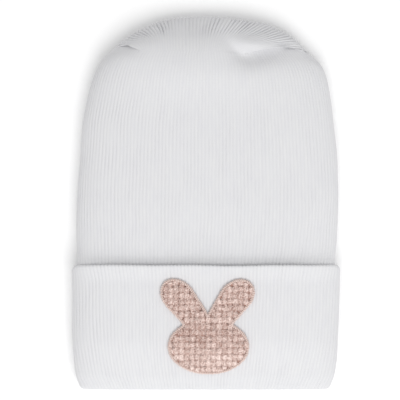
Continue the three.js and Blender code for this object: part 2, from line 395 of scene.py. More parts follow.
# Where the fold over the top begins and what it does to the ribs that it takes along.
# apex: the inner end of each crease. notch_y: where the crease meets the outline. bow: how
# far the crease is drawn up between the two.
fold_sides = {
    "right": {"apex": (19.6, 167.2), "notch_y": 168.4, "end_angle": 5.0, "bow": 2.7},
    "left": {"apex": (-32.6, 168.6), "notch_y": 170.4, "end_angle": -4.0, "bow": 1.4},
}
bow_middle = 0.55
fold_level = 165.0
crease_level = 166.0
fan_middle = -9.5
fan_spread = 2.2
fan_lean = (108, 18)  # how fast a rib's end turns from upright, and how that slows, in degrees
fan_pull = 2.4
seam_y = 160.0
seam_gap = 0.8
seam_share = 0.9
notch_step = 0.15
bend_room = (1.0, 3.0)  # how far a rib's bend stays above its start, and over its end
upright_bend = 4.0
upright_within = 0.3
bow_sharp = 8
front_steps = 160
back_steps = 80
even_top = 140.0
hidden_rows = np.arange(lap_top + cloth_gap, cuff_depth - 5, 6.0)
open_rows = np.linspace(cuff_depth - 4, even_top, 50)
rising_rows = 17
fan_rows = 60


def half_at(y, side):
    left, right, *_ = tube_at(y)
    return right if side > 0 else left


# The arch of the outline from the right notch over the top to the left one.
arch_steps = 400
arch = []
for name, side, shares in (
    ("right", 1, np.linspace(1, 0, arch_steps)),
    ("left", -1, np.linspace(0, 1, arch_steps)),
):
    arch_y = hat_length - shares**2 * (hat_length - fold_sides[name]["notch_y"])
    arch.append(np.stack([side * half_at(arch_y, side), arch_y], 1))
arch = np.concatenate(arch)
arch_far = distances(arch)
arch_top_far = np.interp(-fan_middle, -arch[:, 0], arch_far)


def fan_reach(share, side):
    """How far from the arch's top a rib of the fold meets the arch."""
    whole = arch_top_far if side > 0 else arch_far[-1] - arch_top_far
    own = abs(fold_sides["right" if side > 0 else "left"]["apex"][0] - fan_middle)
    return own * share + (whole - own) * share**fan_spread


def fan_path(x, y, share):
    """Where a rib of the fold runs from (x, y): out to the arch and back to the seam.

    share is 0 at the rib that stays straight, 1 at the right crease, -1 at the left one.
    """
    side = 1 if share >= 0 else -1
    name = "right" if side > 0 else "left"
    out = fan_reach(abs(share), side)
    end = places_on(arch, arch_far, arch_top_far - side * out)
    part = min(out / fan_reach(1.0, side), 1.0)
    last = fold_sides[name]["end_angle"]
    angle = math.radians(90 - fan_lean[0] * part + (fan_lean[1] + last) * part**2)
    sideways = abs(end[0] - x)
    drop = sideways * math.tan(angle) if sideways > upright_within else upright_bend
    bend_y = min(max(end[1] - drop, y + bend_room[0]), end[1] + bend_room[1])
    bend = np.array([x, bend_y])
    bowed = np.array([x + bow_middle * (end[0] - x), end[1] + fold_sides[name]["bow"]])
    bend += part**bow_sharp * (bowed - bend)
    weight = 1 + fan_pull * part**2
    t = (1 - np.cos(np.linspace(0, math.pi, front_steps + 1)))[:, None] / 2
    start = np.array([x, y])
    near = (1 - t) ** 2 * start + 2 * weight * t * (1 - t) * bend + t * t * end
    front = near / ((1 - t) ** 2 + 2 * weight * t * (1 - t) + t * t)
    seam_x = seam_share * end[0]
    seam = np.array([seam_x, seam_line(seam_x) + seam_gap])
    s = (1 - np.cos(np.linspace(0, math.pi / 2, back_steps + 1)))[1:, None]
    back = end + s * (seam - end)
    return front, back, part * side


def seam_line(x):
    """Where the back ends, under the fold: straight across, rising at the sides."""
    half = half_at(fold_level, x)
    edge = fold_sides["right" if x > 0 else "left"]["notch_y"] - notch_step
    return seam_y + (edge - seam_y) * min(abs(x) / half, 1.0) ** 8


# The puffed fold and the hollows under it, as soft dents and swells of the front. A swell
# has its middle, its turn in degrees, its half length and half width, and its height.
broad_waver = 0.25
fine_waver = 0.2
swells = (
    {"place": (26.0, 172.5), "turn": 10.0, "long": 13.0, "wide": 5.5, "lift": 2.3},
    {"place": (15.0, 169.5), "turn": -40.0, "long": 8.0, "wide": 3.5, "lift": -1.7},
    {"place": (-33.0, 170.0), "turn": 20.0, "long": 11.0, "wide": 6.0, "lift": 1.3},
    {"place": (-7.0, 161.0), "turn": 0.0, "long": 36.0, "wide": 14.0, "lift": 3.5},
    {"place": (-30.0, 177.0), "turn": 20.0, "long": 9.0, "wide": 3.5, "lift": -1.0},
    {"place": (-6.0, 173.5), "turn": 0.0, "long": 22.0, "wide": 8.0, "lift": 1.9},
)
hollows = {
    "right": {"deepest": 27.0, "reach": 13.5, "depth": 5.2, "wide": 6.5},
    "left": {"deepest": -38.0, "reach": 7.5, "depth": 1.7, "wide": 3.4},
}

# The puff below the fold stretches the knit, so its grooves are shallower there.
puff_place = (0.0, 154.0)
puff_half = (40.0, 15.0)
puff_smooth = 0.6
side_rise = 5.0
fade_from = 0.12
fade_over = 0.3


def swell_at(x, y):
    """How far the swells lift the front at a place."""
    lift = broad_waver * np.sin(x / 17 + 1) * np.sin(y / 23 + 2)
    lift = lift + fine_waver * np.sin(x / 8 + y / 15)
    for swell in swells:
        c, s = math.cos(math.radians(swell["turn"])), math.sin(math.radians(swell["turn"]))
        dx, dy = x - swell["place"][0], y - swell["place"][1]
        along, across = (c * dx + s * dy) / swell["long"], (c * dy - s * dx) / swell["wide"]
        lift = lift + swell["lift"] * np.exp(-(along**2) - across**2)
    return lift


def rib_relief(x, y):
    """The share of their depth that the grooves of the front keep."""
    across, along = (x - puff_place[0]) / puff_half[0], (y - puff_place[1]) / puff_half[1]
    return 1 - puff_smooth * np.exp(-(across**2) - along**2)


def soft_step(t):
    """0 below 0, 1 above 1, and smooth between them."""
    t = np.clip(t, 0, 1)
    return t * t * (3 - 2 * t)


def above_side(z, side):
    """0 at the side of the hat, 1 well above it."""
    return soft_step((z - side) / side_rise)


def fold_fade(share):
    """How far the ribs are pulled smooth where the fold begins, by its rib's share."""
    return soft_step((share - fade_from) / fade_over)


# The columns that the fold takes along: those between the two apexes.
apex_columns = []
for side in fold_sides.values():
    apex_ring = ring_at(side["apex"][1], front_shares, back_shares)[:front_columns]
    apex_columns.append(int(np.argmin(np.abs(apex_ring[:, 0] - side["apex"][0]))))
right_column, left_column = apex_columns

# The lines of both creases, seen from above, which the ribs outside them run under.
dense_y = np.linspace(even_top, hat_length - 1, 240)
dense_rings = np.array([ring_at(y, front_shares, back_shares) for y in dense_y])


def column_at(column, y):
    """Place and height of a mesh column of the tube at y."""
    return places_on(dense_rings[:, column], dense_y, y)


crease_lines = {}
for name, column in (("right", right_column), ("left", left_column)):
    y = fold_sides[name]["apex"][1]
    share = 1 if name == "right" else -1
    line = fan_path(column_at(column, y)[0], y, share)[0]
    crease_lines[name] = line[np.argsort(line[:, 0])]


def crease_y(x, name):
    return np.interp(x, crease_lines[name][:, 0], crease_lines[name][:, 1])


def hollow_at(x, y, name):
    """How far the knit sinks toward the crease that it goes in under."""
    hollow = hollows[name]
    below = (crease_y(x, name) - y) / hollow["wide"]
    along = np.exp(-(((x - hollow["deepest"]) / hollow["reach"]) ** 2))
    return hollow["depth"] * along * np.exp(-np.maximum(below, 0) ** 2)


tuck_depth = 2.6
tuck_most = 3.6
tuck_reach = 9.0
edge_zone = 0.97  # the share of the half width from which a column ends in the notch


def top_of_column(column):
    """The y at which a column of the tube ends: at the fold, the seam, or under a crease."""
    x = column_at(column, crease_level)[0]
    right, left = fold_sides["right"], fold_sides["left"]
    if column >= front_columns:
        return float(seam_line(x))
    if right_column <= column <= left_column:
        share = (column - right_column) / (left_column - right_column)
        return right["apex"][1] + share * (left["apex"][1] - right["apex"][1])
    name = "right" if column < right_column else "left"
    notch_y = fold_sides[name]["notch_y"]
    edge = abs(column_at(column, notch_y)[0]) / half_at(crease_level, x)
    inner = abs(x - fold_sides[name]["apex"][0])
    tuck = tuck_depth * soft_step((1 - edge) * 5) * soft_step(inner / tuck_reach)
    line = crease_y(x, name) if edge < edge_zone else notch_y - notch_step
    return float(min(line + tuck, notch_y + tuck_most))


# The crown rides up where it goes in under the edge of the cuff.
ride_up = 4.5
ride_up_reach = 4.2
swell_start = 15.0
smooth_from = 0.45  # the share of the last rows from which the ribs are pulled smooth

crown = KnitMesh()
rings = []
on_front = np.arange(all_columns) < front_columns
for y in [*hidden_rows, *open_rows]:
    ring = ring_at(y, front_shares, back_shares)
    *_, side = tube_at(y)
    lift = swell_at(ring[:, 0], y) * np.clip((y - cuff_depth) / swell_start, 0, 1)
    lift = lift + ride_up * math.exp(-abs(y - cuff_depth) / ride_up_reach)
    lift = lift * above_side(ring[:, 1], side)
    points = np.stack([ring[:, 0], np.full(all_columns, y), ring[:, 1] + lift], 1)
    relief = np.where(on_front, rib_relief(ring[:, 0], y), 1.0)
    rings.append(crown.add_points(points, rib_of_column, np.full(all_columns, y), relief))

tops = np.array([top_of_column(column) for column in range(all_columns)])
fold_x = np.array([column_at(column, fold_level)[0] for column in range(all_columns)])
right_half = fold_sides["right"]["apex"][0] - fan_middle
left_half = fan_middle - fold_sides["left"]["apex"][0]
fold_half = np.where(fold_x > fan_middle, right_half, left_half)
fading = fold_fade(np.minimum(np.abs(fold_x - fan_middle) / fold_half, 1))
fading[front_columns:] = 0
for row in range(1, rising_rows + 1):
    y = even_top + (tops - even_top) * row / rising_rows
    points = np.array([[*column_at(c, y[c]), y[c]] for c in range(all_columns)])[:, [0, 2, 1]]
    *_, side = tube_at(y)
    x = points[:, 0]
    lift = swell_at(x, y)
    lift -= np.where(x > 0, hollow_at(x, y, "right"), hollow_at(x, y, "left"))
    points[:, 2] += lift * above_side(points[:, 2], side)
    faded = 1 - fading * soft_step((row / rising_rows - smooth_from) / (1 - smooth_from))
    faded = faded * np.where(on_front, rib_relief(x, y), 1.0)
    rings.append(crown.add_points(points, rib_of_column, y, faded))
crown.add_grid(np.array(rings), closed=True, last_rib=all_ribs)

# The fold: the middle ribs go on over the arch and down to the seam on the back. The cloth
# is stretched there, so its ribs stand a full pitch apart along the arch and more open.
fan_pitch = 2.05
extra_reach = 8.0
extra_ribs = extra_reach * (1 / rib_pitch - 1 / fan_pitch)
fan_column_step = fan_pitch / columns_per_rib["front"]
fan_start = 0.7
start_reach = 6.0
fan_relief = 3.9
fan_middle_relief = 0.45  # what the straight middle ribs have of it
opens_from = 0.28
opens_over = 0.4
start_line = crown.points[rings[-1][right_column : left_column + 1]]
right_start, left_start = start_line[0, 0], start_line[-1, 0]
start_ribs = rib_of_column[right_column : left_column + 1]
rib_at_middle = np.interp(-fan_middle, -start_line[:, 0], start_ribs)
dense_share = np.linspace(0, 1, 2001)
fan_list = []
for side in (1, -1):
    reaches = fan_reach(dense_share, side)
    count = math.ceil(reaches[-1] / fan_column_step)
    reach_steps = np.linspace(0, reaches[-1], count + 1)
    for reach_step in reach_steps if side > 0 else reach_steps[1:]:
        share = np.interp(reach_step, reaches, dense_share)
        ribs_out = reach_step / fan_pitch + extra_ribs * (1 - math.exp(-reach_step / extra_reach))
        fan_list.append((side * share, rib_at_middle - side * ribs_out))
fan_list.sort(key=lambda item: -item[0])
fan_shares, fan_ribs = (np.array(column) for column in zip(*fan_list))

fan = np.zeros((fan_rows + 1, len(fan_list), 3))
fan_sunk = np.zeros((fan_rows + 1, len(fan_list)))
fan_start_y = np.zeros(len(fan_list))
for i, share in enumerate(fan_shares):
    edge = right_start if share > 0 else left_start
    x = fan_middle + abs(share) * (edge - fan_middle)
    _, y, start_z = places_on(start_line, -start_line[:, 0], -x)
    fan_start_y[i] = y
    front, back, part = fan_path(x, y, share)
    z = front_height(front[:, 0], front[:, 1])
    *_, side = tube_at(front[:, 1])
    lift = swell_at(front[:, 0], front[:, 1])
    z = z + lift * above_side(z, side)
    ahead = np.hypot(front[:, 0] - x, front[:, 1] - y)
    z += (start_z - z[0]) * np.exp(-((ahead / start_reach) ** 2))
    path = np.concatenate(
        [
            np.stack([front[:, 0], front[:, 1], z], 1),
            np.stack([back[:, 0], back[:, 1], back_height(back[:, 0], back[:, 1])], 1),
        ]
    )
    far = distances(path)
    at = np.linspace(fan_start, far[-1], fan_rows + 1)
    fan[:, i] = places_on(path, far, at)
    share_out = at / far[len(front) - 1]
    opened = soft_step((share_out - opens_from) / opens_over)
    spread = fold_fade(abs(share))
    at_join = (1 - spread) * rib_relief(x, y)
    at_arch = fan_relief * (fan_middle_relief + (1 - fan_middle_relief) * spread)
    fan_sunk[:, i] = at_join + (at_arch - at_join) * opened

fan_numbers = []
along = np.linalg.norm(np.diff(fan, axis=0), axis=2).cumsum(0)
along = np.concatenate([np.zeros((1, len(fan_list))), along])
for row in range(fan_rows + 1):
    at_y = fan_start_y + along[row]
    fan_numbers.append(crown.add_points(fan[row], fan_ribs, at_y, fan_sunk[row]))
fan_numbers = np.array(fan_numbers)
crown.add_grid(fan_numbers)

# The joins: where the fold begins, and hidden ones under both creases and along the seam.
last_ring = rings[-1]
crown.join_lines(last_ring[right_column : left_column + 1], fan_numbers[0])
tube_edge = np.concatenate([last_ring[right_column::-1], last_ring[: left_column - 1 : -1]])
fold_edge = np.concatenate([fan_numbers[:, 0], fan_numbers[-1, 1:], fan_numbers[-2::-1, -1]])
crown.join_lines(tube_edge, fold_edge)

# The inside of the knit, seen through the rim.
inside_rows = (lap_top + cloth_gap, 25.0, 55.0, 64.0, 75.0, 100.0, 125.0, 145.0, 154.0)
inside_relief = 0.4
inside = []
for y in inside_rows:
    ring = ring_at(y, front_shares, back_shares)
    ring = ring - crown_wall * square_to(ring)
    points = np.stack([ring[:, 0], np.full(all_columns, y), ring[:, 1]], 1)
    at_y = np.full(all_columns, y)
    inside.append(crown.add_points(points, rib_of_column, at_y, inside_relief))
crown.add_grid(np.array([rings[0], *inside]), closed=True, last_rib=all_ribs)
crown.close_ring(inside[-1], crown.points[inside[-1]].mean(0))

# White cotton rib: matt, soft at the edges, with painted shade that makes it a little darker in
# the grooves, and small V-shaped stitches down every ridge. The stitches stand 1.3 mm apart along
# the rib, the fuzz of the cotton is 0.9 mm across, and single ribs are a little greyer for 8 mm or
# so.
stitch_length = 1.3
fuzz_width = 0.9
patch_width = 25.0
streak_scale = 0.12
streak_narrow = 7.0  # one rib across counts as so many millimetres along
knit_material, tree = new_material("white_cotton_rib_knit")
maths = "ShaderNodeMath"
knit_place = add_node(tree, "ShaderNodeUVMap", {"uv_map": "knit"})
knit_place = add_node(tree, "ShaderNodeSeparateXYZ", None, {0: knit_place})
shifted = add_node(tree, maths, {"operation": "ADD"}, {0: knit_place.outputs["X"], 1: 0.5})
across_rib = add_node(tree, maths, {"operation": "PINGPONG"}, {0: shifted, 1: 0.5})
twice = add_node(tree, maths, {"operation": "MULTIPLY"}, {0: across_rib, 1: 2.0})
ridge = add_node(tree, maths, {"operation": "SUBTRACT"}, {0: 1.0, 1: twice})
course = {0: knit_place.outputs["Y"], 1: stitch_length}
course = add_node(tree, maths, {"operation": "DIVIDE"}, course)
slant = add_node(tree, maths, {"operation": "MULTIPLY_ADD"}, {0: across_rib, 1: 1.3, 2: course})
turn = add_node(tree, maths, {"operation": "MULTIPLY"}, {0: slant, 1: 2 * math.pi})
loop = add_node(tree, maths, {"operation": "SINE"}, {0: turn})
half_ridge = add_node(tree, maths, {"operation": "MULTIPLY"}, {0: ridge, 1: 0.5})
place = add_node(tree, "ShaderNodeTexCoord").outputs["Object"]
fuzz = {"Vector": place, "Scale": 1 / (fuzz_width * mm), "Detail": 3.0}
fuzz = add_node(tree, "ShaderNodeTexNoise", None, fuzz)
fuzz_height = add_node(tree, maths, {"operation": "MULTIPLY"}, {0: fuzz, 1: 0.7})
height = {0: loop, 1: half_ridge, 2: fuzz_height}
height = add_node(tree, maths, {"operation": "MULTIPLY_ADD"}, height)
bump = {"Strength": 0.5, "Distance": 0.1 * mm, "Height": height}
bump = add_node(tree, "ShaderNodeBump", None, bump)
# Painted shade: the knit is coloured a little darker down in the grooves than on the ridges.
rounded = add_node(tree, maths, {"operation": "POWER"}, {0: ridge, 1: 0.6})
white_with_groove_shade = {"Factor": rounded, 6: linear("#DADADC"), 7: linear("#E2E2E3")}
white_with_groove_shade = add_node(tree, "ShaderNodeMix", {"data_type": "RGBA"}, white_with_groove_shade).outputs[2]
patches = {"Vector": place, "Scale": 1 / (patch_width * mm), "Detail": 2.0}
patches = add_node(tree, "ShaderNodeTexNoise", None, patches)
patches = add_node(tree, maths, {"operation": "MULTIPLY"}, {0: patches, 1: 0.25})
streak_place = {0: knit_place.outputs["X"], 1: streak_narrow}
streak_place = add_node(tree, maths, {"operation": "MULTIPLY"}, streak_place)
streak_place = {"X": streak_place, "Y": knit_place.outputs["Y"]}
streak_place = add_node(tree, "ShaderNodeCombineXYZ", None, streak_place)
streaks = {"Vector": streak_place, "Scale": streak_scale, "Detail": 2.0}
streaks = add_node(tree, "ShaderNodeTexNoise", None, streaks)
streaks = {0: streaks, 1: 1.1, 2: -0.42}
streaks = add_node(tree, maths, {"operation": "MULTIPLY_ADD"}, streaks)
patches = {0: patches, 1: streaks}
patches = add_node(tree, maths, {"operation": "ADD", "use_clamp": True}, patches)
uneven = {"Factor": patches, 6: white_with_groove_shade, 7: linear("#D9D9DD")}
uneven = add_node(tree, "ShaderNodeMix", {"data_type": "RGBA"}, uneven).outputs[2]
cotton = {
    "Base Color": uneven,
    "Roughness": 0.95,
    "Sheen Weight": 0.15,
    "Sheen Roughness": 0.6,
    "Specular IOR Level": 0.25,
    "Normal": bump,
}
shader = add_node(tree, "ShaderNodeBsdfPrincipled", None, cotton)
add_node(tree, "ShaderNodeOutputMaterial", None, {"Surface": shader})

crown_piece = crown.finish("crown_knit", knit_material)
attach(crown_piece, "root")
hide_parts("crown")

# Cuff: the lower end of the same knitted tube, turned outward and up round the rim. It is
# double, so its free edge is a soft fold too, and its ribs line up with the crown's.
fold_gap = cloth_gap + cuff_wall
cuff_stand = 2.6
stand_rise = 0.3  # share of the cuff's depth over which it comes to stand off
edge_flare = 1.7
flare_reach = 9.0
edge_bulge = 0.5  # the folded edge is fuller than the flat double cloth below it
bulge_reach = 9.0
corner_round = 2.2
edge_waver = 0.3
cuff = KnitMesh()


def cuff_proud(y):
    """How far the front of the cuff stands off the crown, most of all at its free edge."""
    rise = soft_step((y - lap_top) / (stand_rise * cuff_depth))
    flare = soft_step((y - cuff_depth + flare_reach) / flare_reach)
    return cuff_stand * rise + edge_flare * flare


def turned(radius, middle, y, start, end, steps):
    """Places out from the crown and above the rim, round a fold."""
    angles = np.radians(np.linspace(start, end, steps + 1))
    return np.stack([middle + radius * np.cos(angles), y + radius * np.sin(angles)], 1)


def straight(out, low, high, rows):
    return np.stack([np.full(rows, out), np.linspace(low, high, rows)], 1)


rim_fold = (fold_gap + crown_wall) / 2
edge_fold = cuff_wall / 2
outer_face = np.concatenate(
    [
        straight(-crown_wall, lap_top, rim_fold + 0.8, 4),
        turned(rim_fold, (fold_gap - crown_wall) / 2, rim_fold, 180, 360, 12),
        straight(fold_gap, rim_fold + 1.2, cuff_depth - edge_fold - 0.8, 36),
        turned(edge_fold, cloth_gap + edge_fold, cuff_depth - edge_fold, 0, 180, 8),
    ]
)
hidden_face = np.concatenate(
    [
        straight(cloth_gap, cuff_depth - edge_fold - 3, rim_fold + 2, 7),
        turned(cloth_gap / 2, cloth_gap / 2, rim_fold, 0, -180, 3),
        [[0.0, lap_top]],
    ]
)
section = np.concatenate([outer_face, hidden_face])
section_far = distances(section)
cuff_rings = []
for row, (out, y) in enumerate(section):
    in_lap = out < cloth_gap / 2
    proud = 0.0 if in_lap else float(cuff_proud(y))
    ring = ring_at(y, front_shares, back_shares, proud)
    outward = square_to(ring)
    upward = np.clip(outward[:, 1], 0, 1)
    fuller = edge_bulge * upward * soft_step((y - (cuff_depth - bulge_reach)) / bulge_reach)
    from_inner = max(out - cloth_gap, 0) / cuff_wall if row < len(outer_face) else 0
    ring = ring + (out + from_inner * fuller)[:, None] * outward
    x = ring[:, 0]
    to_side = np.maximum(np.abs(x) - (cuff_high[0] - 2 * corner_round), 0) / (2 * corner_round)
    to_edge = max(y - (cuff_depth - 4 * corner_round), 0) / (4 * corner_round)
    drop = edge_waver * to_edge * np.sin(x / 9) * np.sin(x / 23 + 1)
    drop += corner_round * to_side**3 * to_edge
    points = np.stack([x, y - drop, ring[:, 1]], 1)
    relief = 1.0 if row < len(outer_face) else 0.0
    along = np.full(all_columns, section_far[row])
    cuff_rings.append(cuff.add_points(points, rib_of_column, along, relief))
cuff_rings.append(cuff_rings[0])
cuff.add_grid(np.array(cuff_rings), closed=True, last_rib=all_ribs)
cuff_piece = cuff.finish("cuff_knit", knit_material)
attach(cuff_piece, "root")
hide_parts("cuff")

# Rabbit patch: a plain weave of thick soft pink yarn, cut to a rabbit's head with two ears
# and sewn flat on the front of the cuff. Every yarn goes over one and under the next.
head = {"x": 1.25, "y": 21.9, "wide": 40.3, "tall": 27.6}
ear_size = {"tip_wide": 15.4, "tip_tall": 20.4, "root": 13.2}
ears = (
    {"tip": (-13.5, 46.63), "root": (-5.56, 36.61), "lean": 45},
    {"tip": (14.91, 46.63), "root": (7.58, 36.61), "lean": -49},
)
ear_ovals = 30
border_width = 1.3
rabbit_eye = np.array([1.0, 32.0])  # a place from which the whole outline is seen
outline_points = 900


def far_side(directions, centre, wide, tall, lean):
    """How far it is from the rabbit's middle to the far side of an ellipse."""
    c, s = math.cos(math.radians(lean)), math.sin(math.radians(lean))
    turn = np.array([[c, s], [-s, c]])
    scale = np.array([wide / 2, tall / 2])
    d = (directions @ turn.T) / scale
    o = (turn @ (rabbit_eye - centre)) / scale
    a, b, k = (d * d).sum(1), d @ o, o @ o - 1
    inside = b * b - a * k
    reach = (-b + np.sqrt(np.maximum(inside, 0))) / a
    return np.where(inside > 0, reach, 0)


angles = np.linspace(0, 2 * math.pi, 4001)[:-1]
directions = np.stack([np.cos(angles), np.sin(angles)], 1)
reach = far_side(directions, np.array([head["x"], head["y"]]), head["wide"], head["tall"], 0)
for ear in ears:
    for t in np.linspace(0, 1, ear_ovals):
        centre = (1 - t) * np.array(ear["tip"]) + t * np.array(ear["root"])
        wide = (1 - t) * ear_size["tip_wide"] + t * ear_size["root"]
        tall = (1 - t) * ear_size["tip_tall"] + t * ear_size["root"]
        reach = np.maximum(reach, far_side(directions, centre, wide, tall, ear["lean"]))


def evenly(line, count):
    """A closed line with its points at equal distances."""
    closed = np.concatenate([line, line[:1]])
    far = distances(closed)
    return places_on(closed, far, np.linspace(0, far[-1], count + 1)[:-1])


def smoothed(line, times):
    """A closed line with its corners rounded off a little."""
    for _ in range(times):
        line = (np.roll(line, 1, 0) + 2 * line + np.roll(line, -1, 0)) / 4
    return line


rabbit_line = evenly(rabbit_eye + directions * reach[:, None], outline_points)
rabbit_line = smoothed(rabbit_line, 6)


def inset(line, distance):
    """A closed line moved inward, square to itself."""
    return line - distance * square_to(line)


def depth_inside(points):
    """How far points lie inside the rabbit's outline, less than nothing outside it."""
    gaps = np.linalg.norm(points[:, None] - rabbit_line[None, ::2], axis=2).min(1)
    x, y = points[:, 0, None], points[:, 1, None]
    ax, ay = rabbit_line[:, 0], rabbit_line[:, 1]
    bx, by = np.roll(ax, -1), np.roll(ay, -1)
    crosses = ((ay > y) != (by > y)) & (x < (bx - ax) * (y - ay) / (by - ay + 1e-12) + ax)
    return np.where(crosses.sum(1) % 2 == 1, gaps, -gaps)


def cuff_front(points):
    """Height of the cuff's front at places on it."""
    x, y = points[:, 0], points[:, 1]
    return front_height(x, y, cuff_proud(y)) + fold_gap


warp_pitch = 2.65
weft_pitch = 3.05
warp_first = 1.2
weft_first = 1.6
yarn_wide = {"warp": 2.6, "weft": 3.0}
yarn_thick = 1.05
yarn_wave = 0.42
yarn_middle = cloth_gap + 0.78
weave_edge = 0.8 * border_width
weave_room = 0.5 * border_width
broad_shade = 0.2  # the yarn is paler and darker in broad bands along the rabbit's height
broad_length = 30.0
palest_y = 12.0
ears_from = 32.0
ear_shade = -0.04
yarn_step = 0.25
least_steps = 6
yarn_sides = 10
yarn_end = 0.5
end_least = 0.05
width_uneven = 0.05
long_sway = 0.14
short_sway = 0.07
yarn_tone = 0.25
# Painted highlight: a yarn is paler where it floats over the crossing yarn, and so darker where it
# dips.
float_highlight_tone = 0.34
crossing_tone = 0.15
single_tone = 0.08
rng = np.random.default_rng(4)


def face_outward(mesh, most_sides):
    """The faces turned outward, and those with few enough sides shaded smooth."""
    solid = bmesh.new()
    solid.from_mesh(mesh)
    bmesh.ops.recalc_face_normals(solid, faces=solid.faces)
    for face in solid.faces:
        face.smooth = len(face.verts) <= most_sides
    solid.to_mesh(mesh)
    solid.free()


class YarnMesh:
    """Closed tubes of yarn in one mesh, with turn and length as the place on each yarn."""

    def __init__(self):
        self.points = []
        self.faces = []
        self.place = []
        self.tones = []
        self.count = 0

    def add_tube(self, middle, sideways, up, wide, thick, tone):
        """A yarn along points, flattened to a width and a thickness, with rounded ends."""
        rows = len(middle)
        turn = np.linspace(0, 2 * math.pi, yarn_sides + 1)
        far = distances(middle)
        near_end = np.clip(np.minimum(far, far[-1] - far) / yarn_end, end_least, 1)
        full = np.sqrt(1 - (1 - near_end) ** 2)
        across = np.cos(turn)[None, :, None] * sideways[:, None] * (wide * full)[:, None, None] / 2
        above = np.sin(turn)[None, :, None] * up[:, None] * (thick * full)[:, None, None] / 2
        ring = middle[:, None] + across + above
        first = self.count
        self.points.append(ring[:, :yarn_sides].reshape(-1, 3))
        self.tones.append(np.concatenate([np.repeat(tone, yarn_sides), tone[[0, -1]]]))
        self.points.append(middle[[0, -1]])
        for row in range(rows - 1):
            for k in range(yarn_sides):
                n = (k + 1) % yarn_sides
                a, b = first + row * yarn_sides, first + (row + 1) * yarn_sides
                self.faces.append((a + k, a + n, b + n, b + k))
                self.place += [(turn[k], far[row]), (turn[k + 1], far[row])]
                self.place += [(turn[k + 1], far[row + 1]), (turn[k], far[row + 1])]
        start, end = first + rows * yarn_sides, first + rows * yarn_sides + 1
        last = first + (rows - 1) * yarn_sides
        for k in range(yarn_sides):
            n = (k + 1) % yarn_sides
            self.faces.append((first + n, first + k, start))
            self.place += [(turn[k + 1], 0), (turn[k], 0), (turn[k], 0)]
            self.faces.append((last + k, last + n, end))
            self.place += [(turn[k], far[-1]), (turn[k + 1], far[-1]), (turn[k], far[-1])]
        self.count += rows * yarn_sides + 2

    def finish(self, name, material):
        """The object, with its yarns' faces outward."""
        mesh = bpy.data.meshes.new(name)
        points = np.concatenate(self.points)
        points = (points + np.array([0, rim_place, 0])) * mm
        mesh.from_pydata(points.tolist(), [], self.faces)
        uv = mesh.uv_layers.new(name="yarn")
        uv.data.foreach_set("uv", np.array(self.place, np.float32).ravel())
        tone = mesh.attributes.new("tone", "FLOAT", "POINT")
        tone.data.foreach_set("value", np.concatenate(self.tones).astype(np.float32))
        face_outward(mesh, 4)
        mesh.materials.append(material)
        return new_piece(name, mesh)


weave = YarnMesh()


def add_yarns(kind):
    """Every warp or weft yarn, cut where it meets the rabbit's outline."""
    along_axis = 1 if kind == "warp" else 0
    pitch, other = (warp_pitch, weft_pitch) if kind == "warp" else (weft_pitch, warp_pitch)
    low, high = rabbit_line.min(0), rabbit_line.max(0)
    for number in range(-12, 26):
        fixed = number * pitch + (warp_first if kind == "warp" else weft_first)
        if not low[1 - along_axis] < fixed < high[1 - along_axis]:
            continue
        t = np.arange(low[along_axis], high[along_axis], yarn_step)
        sway = long_sway * np.sin(t / 5 + number * 1.7)
        sway += short_sway * np.sin(t / 1.9 + number * 2.3)
        points = np.zeros((len(t), 2))
        points[:, along_axis] = t
        points[:, 1 - along_axis] = fixed + sway
        depth = depth_inside(points)
        inside = depth > weave_edge
        edges = np.flatnonzero(np.diff(np.concatenate([[0], inside.astype(int), [0]])))
        for first, last in edges.reshape(-1, 2):
            if last - first < least_steps:
                continue
            run = points[first:last]
            phase = (run[:, along_axis] - (weft_first if kind == "warp" else warp_first)) / other
            over = np.cos(math.pi * (phase + number)) * (1 if kind == "warp" else -1)
            wave = yarn_wave * np.sign(over) * np.abs(over) ** 0.7
            height = cuff_front(run) + yarn_middle + wave
            middle = np.column_stack([run, height])
            ahead = np.gradient(middle, axis=0)
            ahead /= np.linalg.norm(ahead, axis=1)[:, None]
            sideways = np.zeros_like(middle)
            sideways[:, 1 - along_axis] = 1
            up = np.cross(ahead, sideways) * (1 if kind == "weft" else -1)
            uneven = width_uneven * (over + rng.standard_normal())
            wide = yarn_wide[kind] * (1 + uneven)
            wide = np.minimum(wide, 2 * (depth[first:last] - weave_room))
            crossing = np.round(phase).astype(int)
            shade = rng.uniform(-1, 1, np.ptp(crossing) + 1)[crossing - crossing.min()]
            # Painted highlight on the floats, and painted shade where the yarn dips under.
            float_highlight_mask = np.maximum(over, 0) ** 1.5
            broad = broad_shade * np.cos(2 * math.pi * (run[:, 1] - palest_y) / broad_length)
            broad = np.where(run[:, 1] > ears_from, np.minimum(broad, ear_shade), broad)
            tone = yarn_tone + float_highlight_tone * float_highlight_mask + crossing_tone * shade
            tone += single_tone * rng.uniform(-1, 1) + broad
            weave.add_tube(middle, sideways, up, wide, yarn_thick, tone)


add_yarns("warp")
add_yarns("weft")

